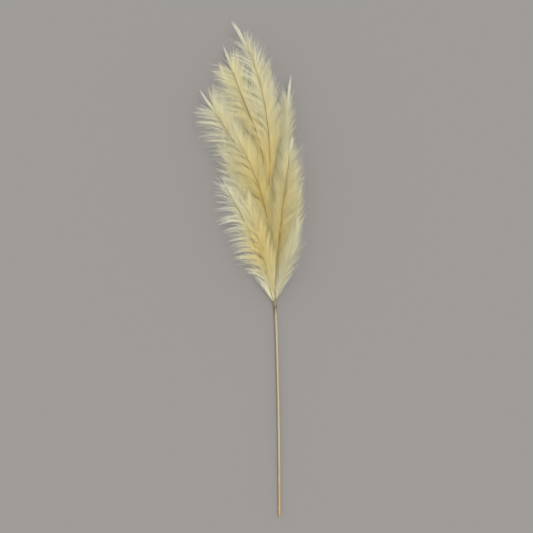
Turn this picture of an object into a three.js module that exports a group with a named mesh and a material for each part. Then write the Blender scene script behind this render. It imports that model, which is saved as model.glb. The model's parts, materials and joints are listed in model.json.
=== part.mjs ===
/**
 * One dried pampas grass plume on its cut stem, lying on a surface.
 *
 * The stem lies along Y with its cut end at -Y and the plume's tip at +Y. X runs across the plume and
 * Z points up from the surface. The plume's stalk, the rachis, is the stem's own upper part. The side
 * branches leave it one after another and arch out to both sides in a few levels, one above another.
 * Each branch is a thin rib with a roof-shaped fringe of hairs over it. All sizes are in millimetres.
 */
import * as THREE from 'three';
import { mergeVertices } from 'three/addons/utils/BufferGeometryUtils.js';

// Lengths along the stem.
const STEM_LENGTH = 461; // bare culm, from the cut end to the neck where the plume starts
const PLUME_LENGTH = 640; // from the neck to the tip of the crown

// The stem's section.
const CUT_END_DIAMETER = 6.4;
const NECK_DIAMETER = 6.2;
const RACHIS_END_DIAMETER = 1.4;

// The ribs' section.
const RIB_ROOT_DIAMETER = 2.0;
const RIB_TIP_DIAMETER = 0.8;

// The fringes' section: a shallow roof over the rib, thickest over it and thin at both edges.
const FRINGE_HALF_WIDTH = 13;
const FRINGE_THICKNESS = 6;
const FRINGE_DROOP = 5; // how far the edges hang below the middle
const FRINGE_END_SCALE = 0.16; // the section's scale at both ends of a fringe

// Clearances between neighbours.
const CLEARANCE = 0.4; // between a rib and the stem, and between a rib and its own fringe
const LANE_GAP = 4; // between fringes that lie side by side
const LEVEL_GAP = 6; // between fringes that lie one above another

// Heights over the surface that the plume lies on.
const NECK_HEIGHT = 15;
const RACHIS_HEIGHT = 40; // the rachis at the middle of the plume
const RACHIS_END_HEIGHT = 36;

// Branches are placed on a grid: lanes across the plume, shares of its length along it, and levels up.
const LANE = 2 * FRINGE_HALF_WIDTH + LANE_GAP;
const LEVEL = FRINGE_THICKNESS + FRINGE_DROOP + RIB_ROOT_DIAMETER / 2 + LEVEL_GAP;
const LOWEST_RIB = FRINGE_DROOP - RIB_ROOT_DIAMETER / 2 - CLEARANCE;

// Mesh fineness.
const STEM_SIDES = 12;
const STEM_SPANS = 44;
const RIB_SIDES = 6;
const FRINGE_SIDES = 8;
const BRANCH_SPANS = 12;
const FRINGE_FIRST_SPAN = 2; // hairs start this many spans out from a branch's root

const STRAW = { color: 0xb9a36d, roughness: 0.6, metalness: 0 };
const OLIVE_BROWN = { color: 0x8a7a45, roughness: 0.65, metalness: 0 };
const CREAM = { color: 0xd9cd9a, roughness: 0.9, metalness: 0 };

/**
 * The side branches, from the neck up. Each leaves the rachis at root, a share of the plume's length.
 * knee and tip are [lane, share of the plume's length, level], and the branch bends round its knee.
 */
const BRANCHES = [
  { root: 0.02, knee: [-1.1, 0.24, 3.0], tip: [-4.1, 0.455, 2.4] },
  { root: 0.03, knee: [0.6, 0.11, 3.0], tip: [1.75, 0.3, 2.6] },
  { root: 0.035, knee: [0.6, 0.19, -0.3], tip: [1.7, 0.41, 0.0] },
  { root: 0.045, knee: [-1.3, 0.26, -0.3], tip: [-3.5, 0.52, 0.0] },
  { root: 0.05, knee: [-0.5, 0.16, 4.0], tip: [-2.1, 0.38, 3.9] },
  { root: 0.07, knee: [0.3, 0.32, 4.2], tip: [1.35, 0.62, 3.6] },
  { root: 0.1, knee: [0.9, 0.3, 2.0], tip: [1.7, 0.51, 1.4] },
  { root: 0.13, knee: [-1.5, 0.34, 2.0], tip: [-4.0, 0.58, 1.4] },
  { root: 0.15, knee: [0.5, 0.4, -0.2], tip: [0.8, 0.67, -0.1] },
  { root: 0.19, knee: [-1.5, 0.42, 1.0], tip: [-3.7, 0.69, 0.4] },
  { root: 0.235, knee: [-0.6, 0.41, 4.2], tip: [-3.1, 0.615, 4.0] },
  { root: 0.265, knee: [0.65, 0.57, 2.05], tip: [1.1, 0.8, 1.7] },
  { root: 0.28, knee: [-0.5, 0.55, -0.2], tip: [-1.5, 0.845, -0.1] },
  { root: 0.31, knee: [0.3, 0.64, 3.0], tip: [-0.7, 0.86, 2.6] },
  { root: 0.35, knee: [-2.5, 0.56, 3.0], tip: [-5.5, 0.75, 2.8] },
  { root: 0.375, knee: [0.7, 0.57, 0.3], tip: [0.9, 0.74, 0.6] },
  { root: 0.39, knee: [0.1, 0.745, 4.8], tip: [-3.15, 1.0, 3.0] },
  { root: 0.45, knee: [-2.0, 0.69, 1.0], tip: [-4.2, 0.835, 0.6] },
];

/** The rachis's own line through the plume, as [lane, share of the plume's length, height]. */
const RACHIS_LINE = [
  [-0.4, 0.235, THREE.MathUtils.lerp(NECK_HEIGHT, RACHIS_HEIGHT, 0.55)],
  [-0.6, 0.42, RACHIS_HEIGHT],
  [-1.25, 0.59, RACHIS_HEIGHT],
  [-2.35, 0.725, THREE.MathUtils.lerp(RACHIS_HEIGHT, RACHIS_END_HEIGHT, 0.5)],
  [-3.5, 0.87, RACHIS_END_HEIGHT],
];
const TIP_FRINGE_START = 0.56; // share of the plume's length where the rachis's own hairs start
const TIP_FRINGE_OVERHANG = 22; // how far they reach past its end

const UP = new THREE.Vector3(0, 0, 1);
const CULM_LEAN = 9; // how far the cut end lies to the right of the neck

const stemLine = new THREE.CatmullRomCurve3([
  new THREE.Vector3(CULM_LEAN, -STEM_LENGTH, CUT_END_DIAMETER / 2),
  new THREE.Vector3(CULM_LEAN * 0.9, -STEM_LENGTH * 0.7, heightOnCulm(0.3)),
  new THREE.Vector3(CULM_LEAN * 0.6, -STEM_LENGTH * 0.35, heightOnCulm(0.65)),
  new THREE.Vector3(0, 0, NECK_HEIGHT),
  ...RACHIS_LINE.map(([lane, along, height]) => new THREE.Vector3(lane * LANE, along * PLUME_LENGTH, height)),
], false, 'centripetal');

/** Height of the culm's centre at a share of the way from its cut end to the neck. */
function heightOnCulm(share) {
  return THREE.MathUtils.lerp(CUT_END_DIAMETER / 2, NECK_HEIGHT, share);
}

/** Diameter of the stem where its line is at y. */
function stemDiameter(y) {
  if (y < 0) return THREE.MathUtils.mapLinear(y, -STEM_LENGTH, 0, CUT_END_DIAMETER, NECK_DIAMETER);
  const end = RACHIS_LINE.at(-1)[1] * PLUME_LENGTH;
  return THREE.MathUtils.lerp(NECK_DIAMETER, RACHIS_END_DIAMETER, (y / end) ** 0.7);
}

/** Point of the stem's line at y, found by halving. */
function stemPointAt(y) {
  let low = 0;
  let high = 1;
  for (let step = 0; step < 40; step += 1) {
    const middle = (low + high) / 2;
    if (stemLine.getPointAt(middle).y < y) low = middle;
    else high = middle;
  }
  return stemLine.getPointAt(low);
}

/** Point of the branches' grid, in millimetres. */
function gridPoint([lane, along, level]) {
  return new THREE.Vector3(lane * LANE, along * PLUME_LENGTH, LOWEST_RIB + level * LEVEL);
}

/** Stations along a curve: each has its centre and the directions across it and up from it. */
function stationsOn(curve, spans) {
  return Array.from({ length: spans + 1 }, (_, index) => {
    const centre = curve.getPointAt(index / spans);
    const tangent = curve.getTangentAt(index / spans);
    const across = new THREE.Vector3().crossVectors(tangent, UP).normalize();
    return { centre, across, up: new THREE.Vector3().crossVectors(across, tangent) };
  });
}

/**
 * Closed solid through the stations. section(share, sin, cos) gives a ring point's place across and up
 * from the centre, share is the way along from 0 to 1, and the angle runs from the top to the right.
 */
function sweep(stations, sides, section) {
  const spans = stations.length - 1;
  const geometry = new THREE.CylinderGeometry(1, 1, 1, sides, spans);
  const position = geometry.attributes.position;
  for (let index = 0; index < position.count; index += 1) {
    const share = position.getY(index) + 0.5;
    const station = stations[Math.round(share * spans)];
    const [across, up] = section(share, position.getX(index), position.getZ(index));
    const point = station.centre.clone().addScaledVector(station.across, across);
    point.addScaledVector(station.up, up);
    position.setXYZ(index, point.x, point.y, Math.max(point.z, 0));
  }
  geometry.deleteAttribute('normal');
  geometry.deleteAttribute('uv');
  return mergeVertices(geometry, 1e-3);
}

/** Named mesh with a material of its own. */
function part(name, geometry, finish) {
  geometry.computeVertexNormals();
  const mesh = new THREE.Mesh(geometry, new THREE.MeshStandardMaterial(finish));
  mesh.name = name;
  return mesh;
}

/** Stem and rachis as one tapering solid. */
function buildStem() {
  const stations = stationsOn(stemLine, STEM_SPANS);
  const section = (share, sin, cos) => {
    const radius = stemDiameter(stations[Math.round(share * STEM_SPANS)].centre.y) / 2;
    return [radius * sin, radius * cos];
  };
  return part('stem', sweep(stations, STEM_SIDES, section), STRAW);
}

/** A branch's line: it starts beside the stem, on the side that the knee is on, and bends to the tip. */
function branchLine({ root, knee, tip }) {
  const foot = stemPointAt(root * PLUME_LENGTH);
  const kneePoint = gridPoint(knee);
  const outward = kneePoint.clone().sub(foot).setY(0).normalize();
  const offset = stemDiameter(foot.y) / 2 + RIB_ROOT_DIAMETER / 2 + CLEARANCE;
  return new THREE.QuadraticBezierCurve3(foot.addScaledVector(outward, offset), kneePoint, gridPoint(tip));
}

/** Radius of a rib at a share of its branch's length. */
function ribRadius(share) {
  return THREE.MathUtils.lerp(RIB_ROOT_DIAMETER, RIB_TIP_DIAMETER, share) / 2;
}

/** Thin tapering stalk of a branch. It ends one span before the fringe does. */
function buildRib(name, stations) {
  const section = (share, sin, cos) => {
    const radius = ribRadius(share);
    return [radius * sin, radius * cos];
  };
  return part(name, sweep(stations.slice(0, -1), RIB_SIDES, section), OLIVE_BROWN);
}

/** Roof of hairs over a stalk of the given radius: full in the middle and narrow at both ends. */
function buildFringe(name, stations, stalkRadius) {
  const section = (share, sin, cos) => {
    const fullness = Math.sin(Math.PI * share ** 0.8) ** 0.6;
    const scale = THREE.MathUtils.lerp(FRINGE_END_SCALE, 1, fullness);
    const floor = stalkRadius + CLEARANCE - FRINGE_DROOP * fullness * sin ** 2;
    const thickness = FRINGE_THICKNESS * scale;
    const onTop = cos > 1e-6 ? cos ** 2 : 0;
    const inMiddle = Math.hypot(sin, cos) < 0.5 ? 0.5 : onTop;
    return [FRINGE_HALF_WIDTH * scale * sin, floor + thickness * inMiddle];
  };
  return part(name, sweep(stations, FRINGE_SIDES, section), CREAM);
}

/** Hairs of the rachis's own upper end, from TIP_FRINGE_START to past the end. */
function buildTipFringe() {
  const stemStations = stationsOn(stemLine, STEM_SPANS);
  const covered = stemStations.filter(({ centre }) => centre.y > TIP_FRINGE_START * PLUME_LENGTH);
  const last = covered.at(-1);
  const onward = new THREE.Vector3().crossVectors(last.up, last.across);
  const beyond = last.centre.clone().addScaledVector(onward, TIP_FRINGE_OVERHANG);
  const stations = [...covered, { ...last, centre: beyond }];
  return buildFringe('tip_fringe', stations, stemDiameter(covered[0].centre.y) / 2);
}

const plume = new THREE.Group();
plume.add(buildStem());
BRANCHES.forEach((branch, index) => {
  const number = String(index + 1).padStart(2, '0');
  const stations = stationsOn(branchLine(branch), BRANCH_SPANS);
  plume.add(buildRib(`branch_rib_${number}`, stations));
  const haired = stations.slice(FRINGE_FIRST_SPAN);
  plume.add(buildFringe(`branch_fringe_${number}`, haired, ribRadius(FRINGE_FIRST_SPAN / BRANCH_SPANS)));
});
plume.add(buildTipFringe());

// The origin is under the middle of the whole, on the surface that it lies on.
const bounds = new THREE.Box3().setFromObject(plume);
const middle = bounds.getCenter(new THREE.Vector3());
plume.position.set(-middle.x, -middle.y, -bounds.min.z);
plume.updateMatrixWorld(true);

export default plume;
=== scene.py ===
"""Looks for one dried pampas grass plume on its cut stem, lying on a pale floor.

The stem, the thin stalks of its branches and the silky hairs are built here as real geometry around
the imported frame, in metres. The lines that stem and stalks follow are read from the frame's own nodes,
and each size that belongs to one kind of piece is a field of its class.
"""

from __future__ import annotations

import json
import logging
import math
from dataclasses import dataclass, field
from enum import Enum
from typing import Any, Iterable

import bpy
import numpy as np
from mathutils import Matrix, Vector

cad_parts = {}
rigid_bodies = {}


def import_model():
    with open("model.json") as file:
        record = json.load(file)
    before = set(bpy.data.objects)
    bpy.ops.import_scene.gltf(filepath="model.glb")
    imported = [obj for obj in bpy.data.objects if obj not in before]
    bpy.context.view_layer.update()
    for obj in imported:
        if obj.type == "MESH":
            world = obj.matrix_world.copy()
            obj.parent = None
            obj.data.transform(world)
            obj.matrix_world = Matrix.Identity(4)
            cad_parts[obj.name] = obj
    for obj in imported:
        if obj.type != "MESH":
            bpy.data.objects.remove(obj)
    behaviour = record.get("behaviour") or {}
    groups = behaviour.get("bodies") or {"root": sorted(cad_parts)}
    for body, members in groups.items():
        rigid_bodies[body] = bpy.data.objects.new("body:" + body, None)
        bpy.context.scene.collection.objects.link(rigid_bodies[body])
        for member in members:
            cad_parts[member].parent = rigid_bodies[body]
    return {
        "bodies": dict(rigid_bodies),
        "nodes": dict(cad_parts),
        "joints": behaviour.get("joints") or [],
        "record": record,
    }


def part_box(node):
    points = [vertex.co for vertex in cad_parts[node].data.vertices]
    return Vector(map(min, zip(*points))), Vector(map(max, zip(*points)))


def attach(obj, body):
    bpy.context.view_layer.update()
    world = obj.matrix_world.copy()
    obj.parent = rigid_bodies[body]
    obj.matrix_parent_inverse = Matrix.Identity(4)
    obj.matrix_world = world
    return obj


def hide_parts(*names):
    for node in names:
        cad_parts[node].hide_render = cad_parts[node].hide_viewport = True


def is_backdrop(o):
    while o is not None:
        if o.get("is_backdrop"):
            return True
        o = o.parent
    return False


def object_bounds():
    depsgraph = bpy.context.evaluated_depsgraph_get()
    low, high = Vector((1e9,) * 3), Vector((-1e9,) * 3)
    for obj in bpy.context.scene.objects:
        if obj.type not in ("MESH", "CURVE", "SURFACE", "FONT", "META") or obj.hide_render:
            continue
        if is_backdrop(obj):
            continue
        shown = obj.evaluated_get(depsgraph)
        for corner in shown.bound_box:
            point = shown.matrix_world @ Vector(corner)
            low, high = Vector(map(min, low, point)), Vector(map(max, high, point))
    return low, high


LOG = logging.getLogger("pampas")

Colour = tuple[float, float, float]

MM = 0.001
TINY = 1e-12
BODY = "root"
UP = np.array([0.0, 0.0, 1.0])
ODD_DIRECTION = np.array([0.31, 0.17, 0.94])  # no strand runs just along it


class Comb(Enum):
    """How the hairs on one side of a branch lie: like a comb's teeth, laid along the stalk, or loose."""

    OPEN = "open"
    SILKY = "silky"
    AIRY = "airy"


# --------------------------------------------------------------------------------------- shader maths


@dataclass(frozen=True)
class Wire:
    """A number that changes over a surface: an output socket that adds and multiplies as numbers do."""

    graph: "Graph"
    socket: bpy.types.NodeSocket

    def _with(self, operation: str, first: Any, second: Any) -> "Wire":
        """A Math node on two values."""
        return self.graph.node("ShaderNodeMath", {"operation": operation}, {0: first, 1: second})

    def __add__(self, other: Any) -> "Wire":
        """Sum."""
        return self._with("ADD", self, other)

    def __radd__(self, other: Any) -> "Wire":
        """Sum, from the right."""
        return self._with("ADD", other, self)

    def __sub__(self, other: Any) -> "Wire":
        """Difference."""
        return self._with("SUBTRACT", self, other)

    def __rsub__(self, other: Any) -> "Wire":
        """Difference, from the right."""
        return self._with("SUBTRACT", other, self)

    def __mul__(self, other: Any) -> "Wire":
        """Product."""
        return self._with("MULTIPLY", self, other)

    def __rmul__(self, other: Any) -> "Wire":
        """Product, from the right."""
        return self._with("MULTIPLY", other, self)

    def __pow__(self, other: Any) -> "Wire":
        """Power."""
        return self._with("POWER", self, other)

    def clamped(self) -> "Wire":
        """The value kept between 0 and 1."""
        return self.graph.node("ShaderNodeClamp", {}, {"Value": self})


class Graph:
    """A new material's node tree, with one method that adds any node."""

    def __init__(self, name: str) -> None:
        """Starts an empty tree.

        Args:
            name: The material's name.
        """
        self.material = bpy.data.materials.new(name)
        self.material.use_nodes = True
        self.tree = self.material.node_tree
        self.tree.nodes.clear()

    def node(self, kind: str, settings: dict[str, Any], inputs: dict[Any, Any], output: Any = 0) -> Wire:
        """Adds a node: its settings first, then the values or links of its sockets.

        Args:
            kind: The node's type.
            settings: Attribute names and values. "stops" is a ramp's list of (place, colour).
            inputs: Socket names or numbers, with a value or a Wire for each.
            output: The name or number of the output that is returned.

        Returns:
            The chosen output.
        """
        node = self.tree.nodes.new(kind)
        for name, value in settings.items():
            if name == "stops":
                self._set_stops(node.color_ramp, value)
            else:
                setattr(node, name, value)
        for name, value in inputs.items():
            if isinstance(value, Wire):
                self.tree.links.new(value.socket, node.inputs[name])
            else:
                node.inputs[name].default_value = value
        return Wire(self, node.outputs[output])

    @staticmethod
    def _set_stops(ramp: bpy.types.ColorRamp, stops: list[tuple[float, Colour]]) -> None:
        """Gives a ramp its stops.

        Args:
            ramp: The node's ramp.
            stops: Its places and colours, in order.
        """
        while len(ramp.elements) < len(stops):
            ramp.elements.new(1.0)
        for element, (position, colour) in zip(ramp.elements, stops):
            element.position = position
            element.color = (*colour, 1.0)

    def attribute(self, name: str) -> Wire:
        """A number stored on the mesh's points."""
        return self.node("ShaderNodeAttribute", {"attribute_name": name}, {}, "Fac")

    def noise(self, stretch: tuple[float, float, float], detail: float = 2.0) -> Wire:
        """Adds smooth noise over the object's own coordinates.

        Args:
            stretch: What the coordinates are multiplied by on each axis: more gives finer noise.
            detail: How many finer layers lie on it.

        Returns:
            The noise, from 0 to 1.
        """
        own = self.node("ShaderNodeTexCoord", {}, {}, "Object")
        vector = self.node("ShaderNodeMapping", {}, {"Vector": own, "Scale": stretch}, "Vector")
        inputs = {"Vector": vector, "Scale": 1.0, "Detail": detail}
        return self.node("ShaderNodeTexNoise", {}, inputs, "Fac")

    def ramp(self, value: Wire, stops: list[tuple[float, Colour]]) -> Wire:
        """A colour picked from stops by a value."""
        return self.node("ShaderNodeValToRGB", {"stops": stops}, {"Fac": value}, "Color")

    def mix(self, share: Any, first: Any, second: Any, blend: str = "MIX") -> Wire:
        """A mix of two colours."""
        settings = {"data_type": "RGBA", "blend_type": blend}
        return self.node("ShaderNodeMix", settings, {0: share, 6: first, 7: second}, 2)

    def finish(self, shader: Wire) -> bpy.types.Material:
        """Sends a shader to the surface.

        Args:
            shader: The shader's output.

        Returns:
            The finished material.
        """
        output = self.tree.nodes.new("ShaderNodeOutputMaterial")
        self.tree.links.new(shader.socket, output.inputs["Surface"])
        return self.material


# ------------------------------------------------------------------------------------------- finishes


@dataclass(frozen=True)
class HairFinish:
    """Fine dry silk: cream at the plume's edges and gold in its middle, partly as painted shade, paler
    towards each hair's tip.

    places: shares of a hair, from root to tip, where the colours of each kind lie.
    pale, gold, white: the kinds, by how golden a hair is.
    tone_spread, tone_curve: how much darker the darkest hairs are, and how few are dark.
    see_through: the share of the light that passes through.
    shine: how strongly the surface shines.
    """

    places: tuple[float, float, float] = (0.0, 0.4, 1.0)
    pale: tuple[Colour, ...] = ((0.87, 0.83, 0.57), (0.91, 0.895, 0.68), (0.95, 0.95, 0.84))
    gold: tuple[Colour, ...] = ((0.88, 0.70, 0.23), (0.91, 0.77, 0.30), (0.93, 0.85, 0.45))
    white: tuple[Colour, ...] = ((0.90, 0.88, 0.72), (0.93, 0.925, 0.82), (0.96, 0.965, 0.93))
    tone_spread: float = 0.40
    tone_curve: float = 1.6
    see_through: float = 0.42
    roughness: float = 0.55
    shine: float = 0.25

    def material(self) -> bpy.types.Material:
        """Builds the material.

        Returns:
            The material, which reads "along", "gold" and "tone" from the hairs.
        """
        graph = Graph("silky_hair")
        along = graph.attribute("along")
        pale, gold, white = (
            graph.ramp(along, list(zip(self.places, colours)))
            for colours in (self.pale, self.gold, self.white)
        )
        # Partly painted shade: the extra gold towards the plume's middle stands for the deeper colour of
        # light deep among the hairs.
        warmth = graph.attribute("gold")
        colour = graph.mix(warmth.clamped(), pale, gold)
        colour = graph.mix((-1.0 * warmth).clamped(), colour, white)
        shade = 1.0 - self.tone_spread * (1.0 - graph.attribute("tone")) ** self.tone_curve
        channels = {"Red": shade, "Green": shade, "Blue": shade}
        grey = graph.node("ShaderNodeCombineColor", {}, channels, "Color")
        colour = graph.mix(1.0, colour, grey, "MULTIPLY")
        front = graph.node(
            "ShaderNodeBsdfPrincipled",
            {},
            {"Base Color": colour, "Roughness": self.roughness, "Specular IOR Level": self.shine},
        )
        behind = graph.node("ShaderNodeBsdfTranslucent", {}, {"Color": colour})
        mixed = graph.node("ShaderNodeMixShader", {}, {0: self.see_through, 1: front, 2: behind})
        return graph.finish(mixed)


@dataclass(frozen=True)
class StalkFinish:
    """Thin dry stalk: olive brown with paler scuffs along it.

    grain_scale, grain_detail: the grain's noise; dark below one level of it and light above another.
    bump, bump_depth: how strongly the grain shows as relief, and how deep it is.
    """

    dark: Colour = (0.085, 0.06, 0.018)
    light: Colour = (0.23, 0.17, 0.06)
    grain_scale: tuple[float, float, float] = (900.0, 90.0, 900.0)
    grain_detail: float = 3.0
    dark_below: float = 0.35
    light_above: float = 0.75
    bump: float = 0.3
    bump_depth: float = 0.1 * MM
    roughness: float = 0.6

    def material(self) -> bpy.types.Material:
        """Builds the material.

        Returns:
            The material.
        """
        graph = Graph("branch_stalk")
        grain = graph.noise(self.grain_scale, self.grain_detail)
        colour = graph.ramp(grain, [(self.dark_below, self.dark), (self.light_above, self.light)])
        relief = {"Strength": self.bump, "Distance": self.bump_depth, "Height": grain}
        bump = graph.node("ShaderNodeBump", {}, relief)
        shader = graph.node(
            "ShaderNodeBsdfPrincipled",
            {},
            {"Base Color": colour, "Roughness": self.roughness, "Normal": bump},
        )
        return graph.finish(shader)


@dataclass(frozen=True)
class CulmFinish:
    """Dry straw: painted light along one side and painted shade along the other, a tanned cut end, fine
    fibres and brown scars.

    painted_light_share, fibre_share, patch_share, shade_level: the painted light on one side, the fibres
    and the broad patches add up; what passes the level is straw, and the rest takes the dark colour.
    speck_gain, speck_level, speck_share: which peaks of the speck noise show as small scars, and how
        dark they are.
    bump, bump_depth: how strongly the fibres show as relief, and how deep they are.
    """

    straw: Colour = (0.31, 0.262, 0.168)
    # The dark colour: painted shade on the stem's unlit side, and the real dark fibres and patches
    # elsewhere.
    shaded: Colour = (0.12, 0.088, 0.042)
    tanned: Colour = (0.33, 0.20, 0.085)
    scar: Colour = (0.055, 0.036, 0.015)
    pith: Colour = (0.55, 0.47, 0.30)
    fibre_scale: tuple[float, float, float] = (1500.0, 11.0, 1500.0)
    fibre_detail: float = 4.0
    patch_scale: tuple[float, float, float] = (60.0, 9.0, 60.0)
    speck_scale: tuple[float, float, float] = (620.0, 130.0, 620.0)
    painted_light_share: float = 0.8
    fibre_share: float = 1.1
    patch_share: float = 0.45
    shade_level: float = 0.83
    speck_gain: float = 7.0
    speck_level: float = 4.6
    speck_share: float = 0.5
    bump: float = 0.35
    bump_depth: float = 0.2 * MM
    roughness: float = 0.5

    def material(self) -> bpy.types.Material:
        """Builds the material.

        Returns:
            The material, which reads "bleach" (painted light and shade round the stem), "tan", "scar" and
            "pith" from the stem.
        """
        graph = Graph("straw_stem")
        fibre = graph.noise(self.fibre_scale, self.fibre_detail)
        patch = graph.noise(self.patch_scale)
        speck = graph.noise(self.speck_scale)
        # Painted light and shade: the lit side turns straw and the other side dark, mixed with the real
        # fibres and patches.
        painted_light_and_grain = self.painted_light_share * graph.attribute("bleach") + self.fibre_share * fibre
        painted_light_and_grain = (painted_light_and_grain + self.patch_share * patch - self.shade_level).clamped()
        straw = graph.mix(graph.attribute("tan"), (*self.straw, 1.0), (*self.tanned, 1.0))
        colour = graph.mix(painted_light_and_grain, (*self.shaded, 1.0), straw)
        specks = (self.speck_gain * speck - self.speck_level).clamped()
        marks = (graph.attribute("scar") + self.speck_share * specks).clamped()
        colour = graph.mix(marks, colour, (*self.scar, 1.0))
        colour = graph.mix(graph.attribute("pith"), colour, (*self.pith, 1.0))
        relief = {"Strength": self.bump, "Distance": self.bump_depth, "Height": fibre}
        bump = graph.node("ShaderNodeBump", {}, relief)
        shader = graph.node(
            "ShaderNodeBsdfPrincipled",
            {},
            {"Base Color": colour, "Roughness": self.roughness, "Normal": bump},
        )
        return graph.finish(shader)


@dataclass(frozen=True)
class FloorFinish:
    """Plain matt studio floor."""

    colour: Colour = (0.136, 0.129, 0.1228)
    roughness: float = 0.95
    shine: float = 0.1

    def material(self) -> bpy.types.Material:
        """Builds the material.

        Returns:
            The material.
        """
        graph = Graph("studio_floor")
        colour = (*self.colour, 1.0)
        shader = graph.node(
            "ShaderNodeBsdfPrincipled",
            {},
            {"Base Color": colour, "Roughness": self.roughness, "Specular IOR Level": self.shine},
        )
        return graph.finish(shader)


# ------------------------------------------------------------------------------------- lines and meshes


@dataclass(frozen=True)
class Line:
    """A smooth line through the middles of a swept solid's rings, with the radius at each."""

    centres: np.ndarray
    radii: np.ndarray

    @classmethod
    def of_node(cls, node: bpy.types.Object, ring_gap: float = 6 * MM) -> "Line":
        """Reads a swept node's rings, from its -Y end to its +Y end.

        Args:
            node: The frame's node.
            ring_gap: Corners further apart than this along the node belong to different rings.

        Returns:
            The line through the rings' middles.
        """
        corners = np.array([v.co for v in node.data.vertices], float)
        corners = np.unique(np.round(corners, 6), axis=0)
        start = corners[corners[:, 1].argmin()]
        chord = corners[corners[:, 1].argmax()] - start
        reach = (corners - start) @ (chord / np.linalg.norm(chord))
        order = reach.argsort()
        cuts = np.flatnonzero(np.diff(reach[order]) > ring_gap) + 1
        rings = np.split(corners[order], cuts)
        centres = np.array([(ring.min(0) + ring.max(0)) / 2 for ring in rings])
        radii = np.array([np.linalg.norm(r - c, axis=1).max() for r, c in zip(rings, centres)])
        return cls(centres, radii)

    def at(self, share: np.ndarray) -> np.ndarray:
        """Finds points on a smooth curve through the line's middles.

        Args:
            share: Shares of the line, from 0 at its first middle to 1 at its last.

        Returns:
            A point for each share.
        """
        last = len(self.centres) - 1
        reach = np.clip(np.asarray(share, float), 0.0, 1.0) * last
        index = np.minimum(reach.astype(int), last - 1)
        t = (reach - index)[:, None]
        ends = np.vstack([
            2 * self.centres[0] - self.centres[1],
            self.centres,
            2 * self.centres[-1] - self.centres[-2],
        ])
        a, b, c, d = (ends[index + k] for k in range(4))
        return 0.5 * (
            2 * b + (c - a) * t + (2 * a - 5 * b + 4 * c - d) * t**2 + (3 * b - a - 3 * c + d) * t**3
        )

    def radius(self, share: np.ndarray) -> np.ndarray:
        """Radius at shares of the line."""
        return np.interp(share, np.linspace(0.0, 1.0, len(self.radii)), self.radii)

    def axes(self, share: np.ndarray) -> tuple[np.ndarray, np.ndarray, np.ndarray]:
        """Finds the line's directions.

        Args:
            share: Shares of the line.

        Returns:
            Directions along, across to the right and up at each share.
        """
        step = 0.01
        along = unit(self.at(np.minimum(share + step, 1.0)) - self.at(np.maximum(share - step, 0.0)))
        across = unit(np.cross(along, UP))
        return along, across, np.cross(across, along)

    @property
    def length(self) -> float:
        """The line's length."""
        return float(np.linalg.norm(np.diff(self.centres, axis=0), axis=1).sum())


def unit(vectors: np.ndarray) -> np.ndarray:
    """Vectors of length one."""
    return vectors / np.maximum(np.linalg.norm(vectors, axis=-1, keepdims=True), TINY)


def smooth_step(value: np.ndarray, low: float, high: float) -> np.ndarray:
    """Rises smoothly from 0 at low to 1 at high."""
    t = np.clip((np.asarray(value, float) - low) / (high - low), 0.0, 1.0)
    return t * t * (3 - 2 * t)


def rising(low: float, share: np.ndarray) -> np.ndarray:
    """Runs from low where the share is 0 to 1 where it is 1."""
    return low + (1 - low) * share


@dataclass
class Shape:
    """A mesh being made.

    points: where its points are, (n, 3).
    corners: the faces' points, one face after another.
    sizes: how many corners each face has.
    numbers: values on the points, by name.
    uv: a place on the map for each corner, or None.
    """

    points: np.ndarray
    corners: np.ndarray
    sizes: np.ndarray
    numbers: dict[str, np.ndarray] = field(default_factory=dict)
    uv: np.ndarray | None = None

    def to_object(self, name: str, material: bpy.types.Material) -> bpy.types.Object:
        """Makes the object, smooth shaded.

        Args:
            name: The object's name.
            material: Its only material.

        Returns:
            The new object, linked to the scene.
        """
        mesh = bpy.data.meshes.new(name)
        mesh.vertices.add(len(self.points))
        mesh.vertices.foreach_set("co", self.points.astype(np.float32).ravel())
        mesh.loops.add(len(self.corners))
        mesh.loops.foreach_set("vertex_index", self.corners.astype(np.int32))
        mesh.polygons.add(len(self.sizes))
        starts = np.concatenate([[0], np.cumsum(self.sizes)[:-1]]).astype(np.int32)
        mesh.polygons.foreach_set("loop_start", starts)
        mesh.polygons.foreach_set("use_smooth", np.ones(len(self.sizes), bool))
        for label, values in self.numbers.items():
            layer = mesh.attributes.new(label, "FLOAT", "POINT")
            layer.data.foreach_set("value", values.astype(np.float32))
        if self.uv is not None:
            layer = mesh.uv_layers.new(name="OFBake")
            layer.data.foreach_set("uv", self.uv.astype(np.float32).ravel())
        mesh.update(calc_edges=True)
        mesh.validate()
        mesh.materials.append(material)
        made = bpy.data.objects.new(name, mesh)
        bpy.context.scene.collection.objects.link(made)
        return made


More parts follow.
